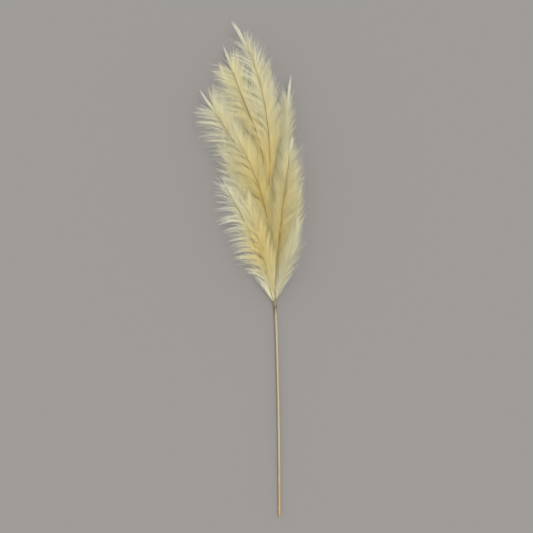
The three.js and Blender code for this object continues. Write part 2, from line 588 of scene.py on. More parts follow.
def tube(
    path: np.ndarray,
    rings: np.ndarray,
    numbers: dict[str, np.ndarray] | None = None,
    headings: np.ndarray | None = None,
) -> Shape:
    """Closed tube through a path.

    Args:
        path: The rings' middles, (m, 3).
        rings: Distance of each ring's points from its middle, (m, sides).
        numbers: Values for each ring or ring point, by name.
        headings: Direction of each ring, where the path itself doesn't give it.

    Returns:
        The tube's points and faces, with a cap at each end.
    """
    count, sides = rings.shape
    along = unit(np.gradient(path, axis=0)) if headings is None else headings
    across = unit(np.cross(along, UP))
    up = np.cross(across, along)
    angle = np.arange(sides) / sides * 2 * math.pi
    out = np.cos(angle)[None, :, None] * up[:, None] + np.sin(angle)[None, :, None] * across[:, None]
    points = (path[:, None] + rings[..., None] * out).reshape(-1, 3)
    ring = np.arange(count - 1)[:, None] * sides
    here, there = np.arange(sides), (np.arange(sides) + 1) % sides
    quads = np.stack(
        [ring + here, ring + sides + here, ring + sides + there, ring + there], axis=-1
    ).reshape(-1, 4)
    first, last = len(points), len(points) + 1
    points = np.vstack([points, path[0], path[-1]])
    near = np.stack([np.full(sides, first), here, there], axis=-1)
    base = (count - 1) * sides
    far = np.stack([np.full(sides, last), base + there, base + here], axis=-1)
    corners = np.concatenate([quads.ravel(), near.ravel(), far.ravel()])
    sizes = np.concatenate([np.full(len(quads), 4), np.full(2 * sides, 3)])
    spread = {}
    for label, values in (numbers or {}).items():
        full = np.broadcast_to(values.reshape(count, -1), (count, sides)).ravel()
        spread[label] = np.concatenate([full, [values.ravel()[0], values.ravel()[-1]]])
    return Shape(points, corners, sizes, spread)


# ----------------------------------------------------------------------------------------------- hairs


@dataclass
class Hairs:
    """Many thin closed strands, gathered lock by lock, that become one mesh.

    segments, sides: how many rings each strand has below its tip, and the points of each ring.
    tip_radius, taper: how thin a strand gets, and how late it thins.
    cell_margin, cell_slimness: the free border of a strand's cell on the map, and how tall the cell is.
    paths, radii, tones, golds: what was added, lock by lock.
    """

    segments: int = 5
    sides: int = 3
    tip_radius: float = 0.03 * MM
    taper: float = 1.5
    cell_margin: float = 0.06
    cell_slimness: float = 6.0
    paths: list[np.ndarray] = field(default_factory=list)
    radii: list[np.ndarray] = field(default_factory=list)
    tones: list[np.ndarray] = field(default_factory=list)
    golds: list[np.ndarray] = field(default_factory=list)

    def add(self, paths: np.ndarray, radii: np.ndarray, tones: np.ndarray, golds: np.ndarray) -> None:
        """Adds strands.

        Args:
            paths: Points along each strand, (n, segments + 1, 3).
            radii: Radius at each root, (n,).
            tones: Lightness of each strand from 0 to 1, (n,).
            golds: How golden each strand is, from -1 for white to 1 for gold, (n,).
        """
        self.golds.append(golds)
        self.paths.append(paths)
        self.radii.append(radii)
        self.tones.append(tones)

    def shape(self, rng: np.random.Generator) -> Shape:
        """Makes the strands' mesh: each is a few-sided tube that narrows to a point, closed at its root.

        Args:
            rng: Source of each strand's turn about itself.

        Returns:
            The mesh, with "along", "tone" and "gold" on its points.
        """
        path = np.concatenate(self.paths)
        radius = np.concatenate(self.radii)
        tone = np.concatenate(self.tones)
        gold = np.concatenate(self.golds)
        count, rings = len(path), self.segments
        along = unit(np.gradient(path, axis=1))
        across = unit(np.cross(along, ODD_DIRECTION))
        up = np.cross(across, along)
        turn = rng.random(count)[:, None] * 2 * math.pi
        angle = turn + np.arange(self.sides) / self.sides * 2 * math.pi
        share = np.linspace(0.0, 1.0, rings + 1)
        width = radius[:, None] + (self.tip_radius - radius[:, None]) * share[:rings] ** self.taper
        out = (
            np.cos(angle)[:, None, :, None] * up[:, :rings, None]
            + np.sin(angle)[:, None, :, None] * across[:, :rings, None]
        )
        ring_points = path[:, :rings, None] + width[..., None, None] * out
        per = rings * self.sides + 1
        points = np.concatenate([ring_points.reshape(count, -1, 3), path[:, -1:]], axis=1)
        quads, quad_uv = self._sides_of(rings)
        ends, end_uv = self._ends_of(rings)
        start = (np.arange(count) * per)[:, None]
        corners = np.concatenate([start + quads.ravel(), start + ends.ravel()], axis=1)
        sizes = np.tile(np.concatenate([np.full(len(quads), 4), np.full(len(ends), 3)]), count)
        along_points = np.concatenate([np.repeat(share[:rings], self.sides), [1.0]])
        numbers = {
            "along": np.tile(along_points, count),
            "tone": np.repeat(tone, per),
            "gold": np.repeat(gold, per),
        }
        uv = self._cells(count, np.concatenate([quad_uv, end_uv]))
        return Shape(points.reshape(-1, 3), corners.ravel(), sizes, numbers, uv)

    def _sides_of(self, rings: int) -> tuple[np.ndarray, np.ndarray]:
        """Lists the quads of one strand's sides.

        Args:
            rings: How many rings the strand has.

        Returns:
            The quads, and their corners' places in the strand's cell of the map.
        """
        faces, places = [], []
        for ring in range(rings - 1):
            for side in range(self.sides):
                here, there = ring * self.sides + side, ring * self.sides + (side + 1) % self.sides
                faces.append((here, here + self.sides, there + self.sides, there))
                low, high = ring / rings, (ring + 1) / rings
                left, right = side / self.sides, (side + 1) / self.sides
                places += [(left, low), (left, high), (right, high), (right, low)]
        return np.array(faces), np.array(places)

    def _ends_of(self, rings: int) -> tuple[np.ndarray, np.ndarray]:
        """Lists the triangles of one strand's tip and root.

        Args:
            rings: How many rings the strand has.

        Returns:
            The triangles, and their corners' places in the strand's cell of the map.
        """
        faces, places = [], []
        base, tip = (rings - 1) * self.sides, rings * self.sides
        for side in range(self.sides):
            faces.append((base + side, tip, base + (side + 1) % self.sides))
            left, right = side / self.sides, (side + 1) / self.sides
            places += [(left, 1 - 1 / rings), ((left + right) / 2, 1.0), (right, 1 - 1 / rings)]
        faces.append(tuple(range(self.sides)))
        places += [(0.0, 0.0), (0.5, 0.04), (1.0, 0.0)]
        return np.array(faces), np.array(places)

    def _cells(self, count: int, places: np.ndarray) -> np.ndarray:
        """Lays all strands out on the map, each in a tall narrow cell of its own.

        Args:
            count: How many strands there are.
            places: One strand's places in its cell.

        Returns:
            A place on the map for each corner of every strand.
        """
        columns = max(1, math.ceil(math.sqrt(count * self.cell_slimness)))
        rows = math.ceil(count / columns)
        index = np.arange(count)
        corner = np.stack([index % columns, index // columns], axis=-1)[:, None]
        inner = self.cell_margin + (1 - 2 * self.cell_margin) * places[None]
        return ((corner + inner) / np.array([columns, rows])).reshape(-1, 2)


@dataclass(frozen=True)
class Lie:
    """How one row of hairs lies.

    leaving, ending: its angles from the stalk at the root and at the tip, in degrees.
    length: how long its strands are.
    flow: how far they turn from their own heading to the whole plume's, from 0 to 1.
    """

    leaving: float
    ending: float
    length: float
    flow: float = 0.0


@dataclass(frozen=True)
class Row:
    """One row of locks: its angle down from straight up in degrees, how it lies, and a lock's strands."""

    turn: float
    lie: Lie
    strands: int


ROWS: dict[Comb, tuple[Row, ...]] = {
    Comb.OPEN: (
        Row(28.0, Lie(14.0, 28.0, 46 * MM), 8),
        Row(60.0, Lie(34.0, 58.0, 56 * MM), 6),
        Row(84.0, Lie(42.0, 72.0, 66 * MM), 13),
        Row(100.0, Lie(42.0, 70.0, 64 * MM), 8),
        Row(140.0, Lie(20.0, 42.0, 62 * MM), 6),
    ),
    Comb.SILKY: (
        Row(24.0, Lie(9.0, 16.0, 56 * MM, 0.3), 12),
        Row(52.0, Lie(16.0, 30.0, 62 * MM, 0.5), 16),
        Row(80.0, Lie(22.0, 40.0, 70 * MM, 0.55), 20),
        Row(112.0, Lie(26.0, 48.0, 78 * MM, 0.5), 20),
        Row(146.0, Lie(20.0, 40.0, 80 * MM, 0.5), 16),
    ),
    Comb.AIRY: (
        Row(26.0, Lie(10.0, 20.0, 54 * MM, 0.2), 10),
        Row(54.0, Lie(20.0, 40.0, 58 * MM, 0.2), 9),
        Row(82.0, Lie(28.0, 52.0, 62 * MM, 0.2), 11),
        Row(108.0, Lie(28.0, 52.0, 62 * MM, 0.2), 10),
        Row(146.0, Lie(18.0, 36.0, 66 * MM, 0.3), 10),
    ),
}


@dataclass(frozen=True)
class Habit:
    """What sets one branch apart from the others.

    left, right: how the hairs lie on each side.
    left_spread, right_spread: what that side's angles are multiplied by.
    length: what the hairs' lengths are multiplied by.
    brush: how far the tight brush at the tip reaches on, or 0 where the tip is loose.
    brush_lean: how far the brush leans to the right of the stalk, in degrees.
    parting: whether the stalk shows between the hairs.
    fullness: what the number of strands is multiplied by.
    tip_fullness: the same at the tip.
    light: what is added to how light each strand is; on the tip's and the laid hairs it is raised as
    painted light, lifting hairs that lie in the plume's own shade.
    warmth: what is added to how golden each strand is; below 0 it turns white.
    """

    left: Comb = Comb.SILKY
    right: Comb = Comb.SILKY
    left_spread: float = 1.0
    right_spread: float = 1.0
    length: float = 1.0
    brush: float = 0.0
    brush_lean: float = 0.0
    parting: bool = False
    fullness: float = 1.0
    tip_fullness: float = 0.6
    light: float = 0.0
    warmth: float = 0.0


CREST = Row(0.0, Lie(6.0, 10.0, 50 * MM), 12)

HABITS: dict[str, Habit] = {
    "01": Habit(
        Comb.OPEN,
        Comb.AIRY,
        left_spread=1.25,
        parting=True,
        tip_fullness=0.3,
        light=0.38,
        warmth=-0.32,
    ),
    "02": Habit(
        right=Comb.AIRY,
        left_spread=0.9,
        right_spread=0.8,
        fullness=0.5,
        tip_fullness=0.3,
        light=-0.1,
        warmth=-0.3,
    ),
    "05": Habit(Comb.OPEN, left_spread=0.8),
    "06": Habit(
        right=Comb.AIRY,
        right_spread=1.3,
        length=1.1,
        brush=16 * MM,
        parting=True,
        tip_fullness=0.4,
        light=-0.18,
    ),
    "07": Habit(right=Comb.AIRY, fullness=0.7, tip_fullness=0.4, light=-0.25),
    "08": Habit(Comb.OPEN, left_spread=0.8, light=0.15),
    "10": Habit(Comb.OPEN, left_spread=0.8, light=0.15),
    "11": Habit(Comb.OPEN, left_spread=0.8, parting=True),
    "12": Habit(
        right=Comb.AIRY,
        left_spread=0.8,
        right_spread=0.6,
        brush=42 * MM,
        fullness=0.7,
        tip_fullness=0.2,
        light=-0.2,
    ),
    "14": Habit(right=Comb.AIRY, fullness=0.6, tip_fullness=0.3, light=-0.3),
    "15": Habit(
        Comb.OPEN, right_spread=1.2, length=1.32, brush=34 * MM, parting=True, tip_fullness=0.8
    ),
    "16": Habit(right=Comb.AIRY, right_spread=0.7, fullness=0.8, tip_fullness=0.4),
    "17": Habit(
        Comb.OPEN,
        Comb.AIRY,
        left_spread=0.85,
        length=1.12,
        brush=35 * MM,
        brush_lean=-8.0,
        parting=True,
        tip_fullness=0.15,
        light=0.1,
    ),
    "18": Habit(Comb.OPEN),
    # The tip's raised light is painted light: it lifts hairs that lie in the shade of neighbouring hairs
    # above them.
    "tip": Habit(
        Comb.OPEN,
        left_spread=1.05,
        length=1.1,
        brush=33 * MM,
        parting=True,
        tip_fullness=0.5,
        light=0.32,
    ),
}

INNER = Habit(fullness=0.78, light=0.15)
# Painted light: the laid hairs are made lighter and more golden, lifting them out of the plume's shade
# where they show between branches.
LAID = Habit(parting=True, tip_fullness=1.0, light=0.35, warmth=0.25)


@dataclass(frozen=True)
class Room:
    """The space that hairs stay in: they bend away softly before its walls.

    low, high: its corners.
    soft: how far before a wall the hairs start to bend, on each axis.
    floor_gap, floor_layers: how far over the floor the lowest hairs lie, and the depth of their layers.
    floor_soft: how far over its own layer a hair starts to bend.
    """

    low: np.ndarray
    high: np.ndarray
    soft: tuple[float, float, float] = (11 * MM, 40 * MM, 18 * MM)
    floor_gap: float = 0.25 * MM
    floor_layers: float = 1.6 * MM
    floor_soft: float = 4 * MM

    @classmethod
    def around(
        cls,
        low: Vector,
        high: Vector,
        spare: tuple[float, float, float] = (15.8 * MM, 38 * MM, 10 * MM),
    ) -> "Room":
        """Gives a little more room than a box, with the floor as its bottom.

        Args:
            low: The box's lowest corner.
            high: Its highest corner.
            spare: How far the hairs may go past it on each axis.

        Returns:
            The room.
        """
        bottom = np.array(low) - spare
        bottom[2] = low[2]
        return cls(bottom, np.array(high) + spare)

    def keep(self, points: np.ndarray, rng: np.random.Generator) -> np.ndarray:
        """Bends strands back from the walls.

        Args:
            points: Points along strands, (n, m, 3).
            rng: Source of each strand's own height over the floor.

        Returns:
            The bent points.
        """
        soft = np.array(self.soft)
        over = np.maximum(points - (self.high - soft), 0.0)
        points = points - over + soft * (1 - np.exp(-over / soft))
        sideways = soft[:2]
        under = np.maximum(self.low[:2] + sideways - points[..., :2], 0.0)
        points[..., :2] += under - sideways * (1 - np.exp(-under / sideways))
        floor = self.low[2] + (self.floor_gap + self.floor_layers * rng.random(len(points)))[:, None]
        lift = self.floor_soft
        below = np.maximum(floor + lift - points[..., 2], 0.0)
        points[..., 2] += below - lift * (1 - np.exp(-below / lift))
        return points


@dataclass(frozen=True)
class Starts:
    """Where some strands leave their stalk and how each sets off.

    side: -1 for the stalk's left side and 1 for its right.
    share: each root's share along the stalk.
    turn: its angle down from straight up on that side, in radians.
    tilt: what is added to the angle that it leaves at, in radians.
    stretch: what its length is multiplied by.
    """

    side: int
    share: np.ndarray
    turn: np.ndarray
    tilt: np.ndarray
    stretch: np.ndarray


@dataclass
class Fringe:
    """Hairs along one stalk: locks at even steps, in rows round it, each lock a sheaf of strands.

    Shares of the stalk run from 0 at its foot to 1 at its tip.
    """

    line: Line
    habit: Habit
    room: Room
    flow: Line
    first: float = 0.1
    segments: int = 5
    lock_pitch: float = 5.2 * MM
    fewest_locks: int = 6
    fewest_strands: int = 3
    density: float = 0.8
    thins_from: float = 0.5
    droop: float = 5 * MM
    root_radius: float = 0.115 * MM
    root_depth: float = 0.8
    thickness: tuple[float, float] = (0.75, 1.2)

    # Tufts: their width, how sharply locks lean together, and how much of it silky sides have.
    tuft_pitch: float = 13 * MM
    tuft_widths: tuple[float, float] = (0.5, 1.5)
    tuft_draw: float = 58 * MM
    tuft_bend: float = 1.1
    tuft_sway: float = 0.06
    silky_tufts: float = 0.45
    most_tufts: int = 200

    # How hairs open from the stalk's foot and close to its tip: what angles, sway and lengths are
    # multiplied by at each end.
    opens_before: float = 0.08
    opens_after: float = 0.34
    closes_from: float = 0.7
    foot_spread: float = 0.22
    foot_sway: float = 0.45
    foot_length: float = 0.8
    tip_spread: float = 0.5
    tip_spread_brushed: float = 0.7
    tip_length: float = 0.62
    sway_leaving: float = 1.7
    sway_ending: float = 0.3

    # How much locks, then strands, differ: shifts in lock pitches, turns in radians, tilts in degrees.
    lock_shift: float = 0.10
    lock_turn: float = 0.07
    lock_tilt: float = 2.0
    lock_stretch: tuple[float, float] = (0.86, 1.06)
    strand_shift: float = 0.22
    strand_turn: float = 0.15
    strand_tilt: float = 4.5
    strand_shortest: float = 0.45
    strand_stretch: float = 0.58
    skew: tuple[float, float] = (2.6, 1.3)
    stray_share: float = 0.16
    stray_reach: float = 2.6
    gathering: float = 0.95
    gathering_curve: float = 0.8
    shortest_core: float = 0.3
    waver: float = 1.1 * MM
    waves: tuple[float, float] = (2.0, 6.0)

    # Lightness, and gold near the plume's middle line between two places along it; that gold is partly
    # painted shade.
    tone_of_lock: float = 0.6
    light_foot: float = 1.25
    light_fall: float = 0.75
    golden_width: float = 42 * MM
    golden_base: float = 0.22
    golden_spread: float = 0.12
    golden_from: tuple[float, float] = (0.44, 0.58)
    golden_to: tuple[float, float] = (0.72, 0.95)
    golden_fall: float = 0.8

    # The tight brush at the tip.
    brush_strands: int = 130
    brush_root: float = 44 * MM
    brush_clear: float = 0.8
    brush_crowding: float = 0.8
    brush_width: float = 4.6 * MM
    brush_swell: float = 0.7
    brush_closing: float = 0.8
    brush_waver: float = 0.6 * MM
    brush_shortest: float = 0.4
    brush_tones: tuple[float, float] = (0.2, 0.7)
    brush_thickness: tuple[float, float] = (0.9, 1.2)
    brush_warmth: float = -0.25

    def grow(self, rng: np.random.Generator) -> Hairs:
        """Grows the hairs along the whole stalk.

        Args:
            rng: Source of the small differences.

        Returns:
            The hairs.
        """
        hairs = Hairs(self.segments)
        brushed = self.habit.brush > 0
        last = 1.0 - (self.brush_root * self.brush_clear / self.line.length if brushed else 0.0)
        count = round(self.line.length * (last - self.first) / self.lock_pitch)
        count = max(self.fewest_locks, count)
        steps = np.linspace(self.first, last, count)
        sides = (
            (-1, self.habit.left, self.habit.left_spread),
            (1, self.habit.right, self.habit.right_spread),
        )
        for side, comb, spread in sides:
            lean = self._tufts(rng, steps) * (1.0 if comb is Comb.OPEN else self.silky_tufts)
            for row in ROWS[comb][1 if self.habit.parting else 0 :]:
                self._grow_row(hairs, rng, steps, side, row, spread, lean)
        if not self.habit.parting:
            self._grow_row(hairs, rng, steps, 1, CREST, 1.0, 0 * steps)
        if brushed:
            self._grow_brush(hairs, rng)
        hairs.paths = [self.room.keep(path, rng) for path in hairs.paths]
        return hairs

    def _tufts(self, rng: np.random.Generator, steps: np.ndarray) -> np.ndarray:
        """Gathers neighbouring locks into tufts of uneven width.

        Args:
            rng: Source of the tufts' widths.
            steps: The locks' shares along the stalk.

        Returns:
            How far each lock leans towards the middle of its tuft, in radians.
        """
        most = self.most_tufts
        reach = steps * self.line.length
        widths = self.tuft_pitch * rng.uniform(*self.tuft_widths, most)
        ends = np.cumsum(widths) - self.tuft_pitch
        index = np.searchsorted(ends, reach).clip(1, most - 1)
        middle = (ends[index - 1] + ends[index]) / 2
        bend = (reach - middle) / self.tuft_draw * self.tuft_bend
        return bend + rng.normal(0, self.tuft_sway, most)[index]

    def _grow_row(
        self,
        hairs: Hairs,
        rng: np.random.Generator,
        steps: np.ndarray,
        side: int,
        row: Row,
        spread: float,
        lean: np.ndarray,
    ) -> None:
        """Grows one row of locks.

        Args:
            hairs: Takes the strands.
            rng: Source of the small differences.
            steps: The locks' shares along the stalk.
            side: -1 for the left side and 1 for the right.
            row: Where the row is and how it lies.
            spread: What its angles are multiplied by.
            lean: How far each lock leans towards its tuft.
        """
        locks = len(steps)
        per = max(self.fewest_strands, round(row.strands * self.habit.fullness * self.density))
        thinning = 1 + (self.habit.tip_fullness - 1) * smooth_step(steps, self.thins_from, 1.0)
        kept = (rng.random((locks, per)) < thinning[:, None]).ravel()
        middles = self._lock_starts(rng, steps, side, row, lean)
        tone = np.repeat(rng.random(locks), per)
        stray = rng.random((locks, per)) < self.stray_share
        starts = self._strand_starts(rng, middles, np.where(stray, self.stray_reach, 1.0))
        own = self._paths(starts, row.lie, spread)
        core = self._paths(middles, row.lie, spread)
        count = len(own)
        pull = rng.beta(*self.skew, count) * self.gathering * ~stray.ravel()
        paths = self._gathered(own, np.repeat(core, per, axis=0), pull)
        paths = (paths + self._waver(rng, count, self.waver))[kept]
        light = self.habit.light * (self.light_foot - self.light_fall * middles.share)
        tone = self.tone_of_lock * tone + (1 - self.tone_of_lock) * rng.random(count)
        tones = np.clip(tone + np.repeat(light, per), 0, 1)
        radii = self.root_radius * rng.uniform(*self.thickness, count)
        base = 0.0 if row.lie.flow == 0 else self.golden_base
        hairs.add(paths, radii[kept], tones[kept], self._gold(paths[:, 0], base, rng))

    def _lock_starts(
        self, rng: np.random.Generator, steps: np.ndarray, side: int, row: Row, lean: np.ndarray
    ) -> Starts:
        """Sets the middle line of each lock of a row.

        Args:
            rng: Source of the locks' differences.
            steps: The locks' shares along the stalk.
            side: -1 for the left side and 1 for the right.
            row: Where the row is.
            lean: How far each lock leans towards its tuft.

        Returns:
            The start of each lock's middle line.
        """
        count = len(steps)
        pitch = (1 - self.first) / count
        return Starts(
            side,
            np.clip(steps + rng.normal(0, self.lock_shift, count) * pitch, self.first, 1.0),
            math.radians(row.turn) + rng.normal(0, self.lock_turn, count),
            lean + rng.normal(0, math.radians(self.lock_tilt), count),
            rng.uniform(*self.lock_stretch, count),
        )

    def _strand_starts(
        self, rng: np.random.Generator, middles: Starts, loose: np.ndarray
    ) -> Starts:
        """Sets each strand beside the middle line of its lock.

        Args:
            rng: Source of the strands' differences.
            middles: The starts of the locks' middle lines.
            loose: What each strand's own turn and tilt are multiplied by, (locks, strands).

        Returns:
            The start of each strand, lock by lock.
        """
        size = loose.shape
        pitch = (1 - self.first) / size[0]
        share = middles.share[:, None] + rng.normal(0, self.strand_shift, size) * pitch
        turn = middles.turn[:, None] + rng.normal(0, self.strand_turn, size) * loose
        tilt = middles.tilt[:, None] + rng.normal(0, math.radians(self.strand_tilt), size) * loose
        own = self.strand_shortest + self.strand_stretch * rng.beta(*self.skew, size)
        return Starts(
            middles.side,
            np.clip(share, self.first, 1.0).ravel(),
            turn.ravel(),
            tilt.ravel(),
            (middles.stretch[:, None] * own).ravel(),
        )

    def _gathered(self, own: np.ndarray, core: np.ndarray, pull: np.ndarray) -> np.ndarray:
        """Draws strands towards the middle lines of their locks, more so towards their tips.

        Args:
            own: Each strand's own path.
            core: The middle line of its lock.
            pull: How strongly it is drawn in, from 0 to 1.

        Returns:
            The gathered paths.
        """
        t = self._shares()[None, :, None]
        own_reach = np.linalg.norm(own[:, -1] - own[:, 0], axis=-1)
        core_reach = np.linalg.norm(core[:, -1] - core[:, 0], axis=-1)
        target = self._cut_down(core, np.clip(own_reach / core_reach, self.shortest_core, 1.0))
        return own + (target - own) * pull[:, None, None] * t**self.gathering_curve

    def _cut_down(self, paths: np.ndarray, reach: np.ndarray) -> np.ndarray:
        """Cuts each path down to a share of its length, with as many points as before.

        Args:
            paths: Points along each path.
            reach: The share of each that is kept.

        Returns:
            The shorter paths.
        """
        last = self.segments
        places = self._shares()[None] * reach[:, None] * last
        index = np.minimum(places.astype(int), last - 1)
        rest = (places - index)[..., None]
        rows = np.arange(len(paths))[:, None]
        return paths[rows, index] * (1 - rest) + paths[rows, index + 1] * rest

    def _waver(self, rng: np.random.Generator, count: int, depth: float) -> np.ndarray:
        """Makes small sideways waves that grow from nothing at each strand's root.

        Args:
            rng: Source of the waves.
            count: How many strands there are.
            depth: How far the waves reach, as a standard deviation.

        Returns:
            What is added to each strand's points.
        """
        t = self._shares()[None, :, None]
        side = rng.normal(0, depth, (count, 1, 3))
        return side * np.sin(t * rng.uniform(*self.waves, (count, 1, 1)))

    def _shares(self) -> np.ndarray:
        """Shares of a strand at its points, from root to tip."""
        return np.linspace(0.0, 1.0, self.segments + 1)

    def _gold(self, roots: np.ndarray, base: float, rng: np.random.Generator) -> np.ndarray:
        """Colours strands: at least a base of gold, and more the closer to the plume's middle they start,
        partly as painted shade.

        Args:
            roots: The strands' roots.
            base: The least gold that they have before they differ.
            rng: Source of their differences.

        Returns:
            How golden each strand is, from -1 for white to 1 for gold.
        """
        line = self.flow.centres
        reach = (roots[:, 1] - line[0, 1]) / (line[-1, 1] - line[0, 1])
        middle = np.interp(roots[:, 1], line[:, 1], line[:, 0])
        close = np.exp(-(((roots[:, 0] - middle) / self.golden_width) ** 2))
        fading = 1 - self.golden_fall * smooth_step(reach, *self.golden_to)
        window = smooth_step(reach, *self.golden_from) * fading
        # Painted shade in part: gold near the plume's middle stands for the deeper colour that light
        # takes deep among the hairs.
        gold = base + (1 - base) * close * window + rng.normal(0, self.golden_spread, len(roots))
        return np.clip(np.maximum(gold, 0.0) + self.habit.warmth, -1.0, 1.0)

    def _paths(self, starts: Starts, lie: Lie, spread: float) -> np.ndarray:
        """Lays strand paths that leave the stalk and curl outwards.

        Args:
            starts: Where the strands start and how each sets off.
            lie: How the row lies.
            spread: What its angles are multiplied by.

        Returns:
            Points along each strand.
        """
        share = starts.share
        along, _, out, root = self._roots(share, starts.side * starts.turn)
        opening = smooth_step(share, self.first - self.opens_before, self.first + self.opens_after)
        closing = 1 - smooth_step(share, self.closes_from, 1.0)
        shut = self.tip_spread_brushed if self.habit.brush > 0 else self.tip_spread
        widen = spread * rising(self.foot_spread, opening) * rising(shut, closing)
        sway = starts.tilt * closing * rising(self.foot_sway, opening)
        leaving = math.radians(lie.leaving) * widen + self.sway_leaving * sway
        ending = math.radians(lie.ending) * widen + self.sway_ending * sway
        length = self.habit.length * lie.length * starts.stretch
        length = length * rising(self.foot_length, opening) * rising(self.tip_length, closing)
        t = self._shares()
        angle = leaving[:, None] + (ending - leaving)[:, None] * t[None]
        steps = np.cos(angle)[..., None] * along[:, None] + np.sin(angle)[..., None] * out[:, None]
        steps = unit(steps + lie.flow * t[None, :, None] * (self._flow_at(root)[:, None] - steps))
        steps = (steps[:, 1:] + steps[:, :-1]) / 2 * (length[:, None] / self.segments)[..., None]
        path = np.concatenate([root[:, None], root[:, None] + np.cumsum(steps, axis=1)], axis=1)
        path[..., 2] -= self.droop * (length / lie.length)[:, None] * t[None] ** 2
        return path

    def _roots(
        self, share: np.ndarray, turn: np.ndarray
    ) -> tuple[np.ndarray, np.ndarray, np.ndarray, np.ndarray]:
        """Finds where strands leave the stalk, just under its skin.

        Args:
            share: Each root's share along the stalk.
            turn: Its angle round the stalk from straight up, positive to the right.

        Returns:
            The stalk's directions along and across there, the direction out of it, and the roots.
        """
        along, across, up = self.line.axes(share)
        out = np.cos(turn)[:, None] * up + np.sin(turn)[:, None] * across
        root = self.line.at(share) + out * self.line.radius(share)[:, None] * self.root_depth
        return along, across, out, root

    def _grow_brush(self, hairs: Hairs, rng: np.random.Generator) -> None:
        """Grows the tight pointed brush at the stalk's end.

        Args:
            hairs: Takes the strands.
            rng: Source of the small differences.
        """
        count = self.brush_strands
        depth = self.brush_root / self.line.length
        share = 1.0 - depth * rng.random(count) ** self.brush_crowding
        turn = rng.uniform(-math.pi, math.pi, count)
        along, across, out, root = self._roots(share, turn)
        lean = math.radians(self.habit.brush_lean)
        along = math.cos(lean) * along + math.sin(lean) * across
        reach = rising(self.brush_shortest, rng.random(count))
        length = (self.line.length * (1 - share) + self.habit.brush) * reach
        bulge = self.brush_width / 2 * np.sqrt(rng.random(count))
        t = self._shares()[None, :, None]
        swelling = np.sin(t**self.brush_swell * math.pi * self.brush_closing)
        path = root[:, None] + along[:, None] * length[:, None, None] * t
        path = path + bulge[:, None, None] * out[:, None] * swelling
        path = path + self._waver(rng, count, self.brush_waver)
        tones = rng.uniform(*self.brush_tones, count)
        radii = self.root_radius * rng.uniform(*self.brush_thickness, count)
        hairs.add(path, radii, tones, np.full(count, self.brush_warmth))

    def _flow_at(self, points: np.ndarray) -> np.ndarray:
        """Finds where the whole plume heads to.

        Args:
            points: Places in the plume.

        Returns:
            The plume's direction beside each of them.
        """
        line = self.flow.centres
        share = np.interp(points[:, 1], line[:, 1], np.linspace(0, 1, len(line)))
        return self.flow.axes(share)[0]


# ---------------------------------------------------------------------------------------------- pieces


def place(piece: bpy.types.Object, slot: str, *nodes: str) -> bpy.types.Object:
    """Makes a piece ride with the part and stand for its frame nodes.

    Args:
        piece: The finished piece.
        slot: The record's material slot that it belongs to; not used.
        nodes: The frame nodes that it stands for.

    Returns:
        The piece.
    """
    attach(piece, BODY)
    if nodes:
        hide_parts(*nodes)
    LOG.info("%s: %d faces, stands for %s", piece.name, len(piece.data.polygons), ", ".join(nodes))
    return piece


